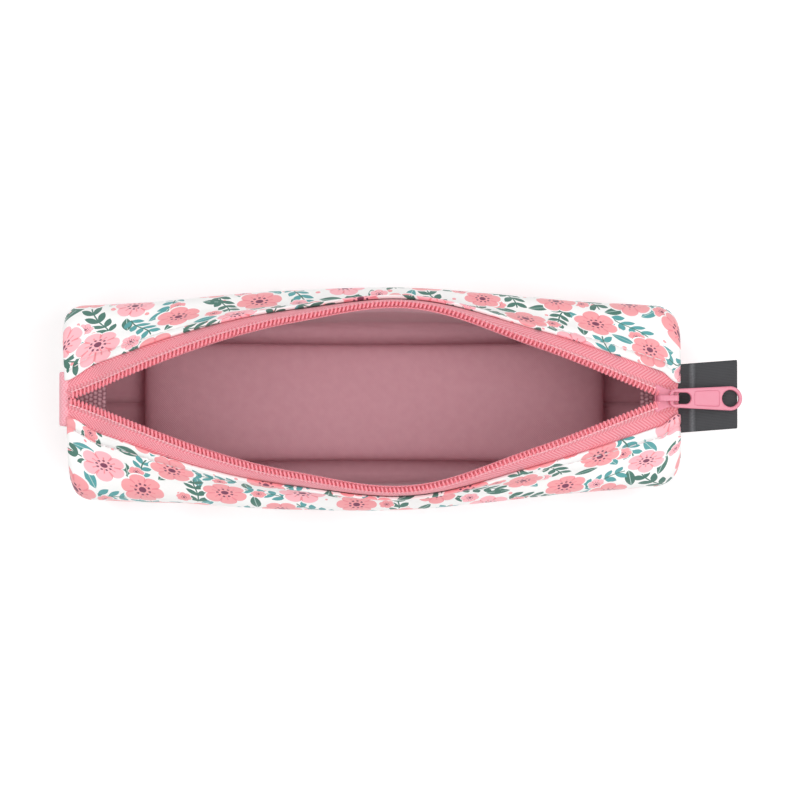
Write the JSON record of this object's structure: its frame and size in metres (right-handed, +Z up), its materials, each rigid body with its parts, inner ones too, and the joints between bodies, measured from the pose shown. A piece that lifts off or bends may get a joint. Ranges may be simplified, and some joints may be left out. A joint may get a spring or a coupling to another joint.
{
  "type": "insulated zip case",
  "caption": "Long soft insulated case for injection pens, with padded walls, a lined inside with a cold pack on its floor, and a zip mouth whose two top flaps close as the slider runs.",
  "frame": {"origin": "centre of the flat base", "axes": "+X along the length towards the open zip's slider and the label, +Z up out of the mouth, +Y towards the back flap"},
  "size_m": [0.2395, 0.0782, 0.0835],
  "materials": {
    "printed_faux_leather": "satin",
    "insulation_foam": "matte",
    "lining_twill": "satin",
    "seam_binding": "matte",
    "gel_film": "gloss",
    "zip_tape": "matte",
    "zip_coil": "satin",
    "zip_paint": "satin",
    "tab_ribbon": "matte",
    "label_weave": "satin"
  },
  "bodies": {
    "case": {"outer_wrap": "printed_faux_leather", "left_end_panel": "printed_faux_leather", "right_end_panel": "printed_faux_leather", "wrap_insulation": "insulation_foam", "left_end_insulation": "insulation_foam", "right_end_insulation": "insulation_foam", "lining_wrap": "lining_twill", "left_end_lining": "lining_twill", "right_end_lining": "lining_twill", "left_seam_binding": "seam_binding", "right_seam_binding": "seam_binding", "gel_pack": "gel_film", "gel_pack_sleeve": "lining_twill", "end_tab": "tab_ribbon", "side_label": "label_weave"},
    "front_flap": {"front_flap_outer": "printed_faux_leather", "front_flap_insulation": "insulation_foam", "front_flap_lining": "lining_twill", "front_zip_tape": "zip_tape", "front_zip_teeth": "zip_coil"},
    "back_flap": {"back_flap_outer": "printed_faux_leather", "back_flap_insulation": "insulation_foam", "back_flap_lining": "lining_twill", "back_zip_tape": "zip_tape", "back_zip_teeth": "zip_coil"},
    "slider": {"slider_body": "zip_paint"},
    "pull": {"pull_tab": "zip_paint"}
  },
  "joints": [
    {"name": "slider_travel", "type": "slide", "parent": "case", "child": "slider", "axis": [-1, 0, 0], "range_m": [0, 0.194]},
    {"name": "pull_swing", "type": "hinge", "parent": "slider", "child": "pull", "pos_m": [0.10407, 0, 0.06633], "axis": [0, -1, 0], "range_deg": [0, 165]},
    {"name": "front_flap_fold", "type": "hinge", "parent": "case", "child": "front_flap", "pos_m": [0, -0.034, 0.047], "axis": [-1, 0, 0], "range_deg": [0, 63], "deforming": ["front_flap_outer", "front_flap_insulation", "front_flap_lining", "front_zip_tape", "front_zip_teeth"]},
    {"name": "back_flap_fold", "type": "hinge", "parent": "case", "child": "back_flap", "pos_m": [0, 0.034, 0.047], "axis": [1, 0, 0], "range_deg": [0, 63], "deforming": ["back_flap_outer", "back_flap_insulation", "back_flap_lining", "back_zip_tape", "back_zip_teeth"]}
  ],
  "couplings": [
    {"joint": "front_flap_fold", "follows": "slider_travel", "rad_per_m": 5.6588},
    {"joint": "back_flap_fold", "follows": "slider_travel", "rad_per_m": 5.6588}
  ]
}
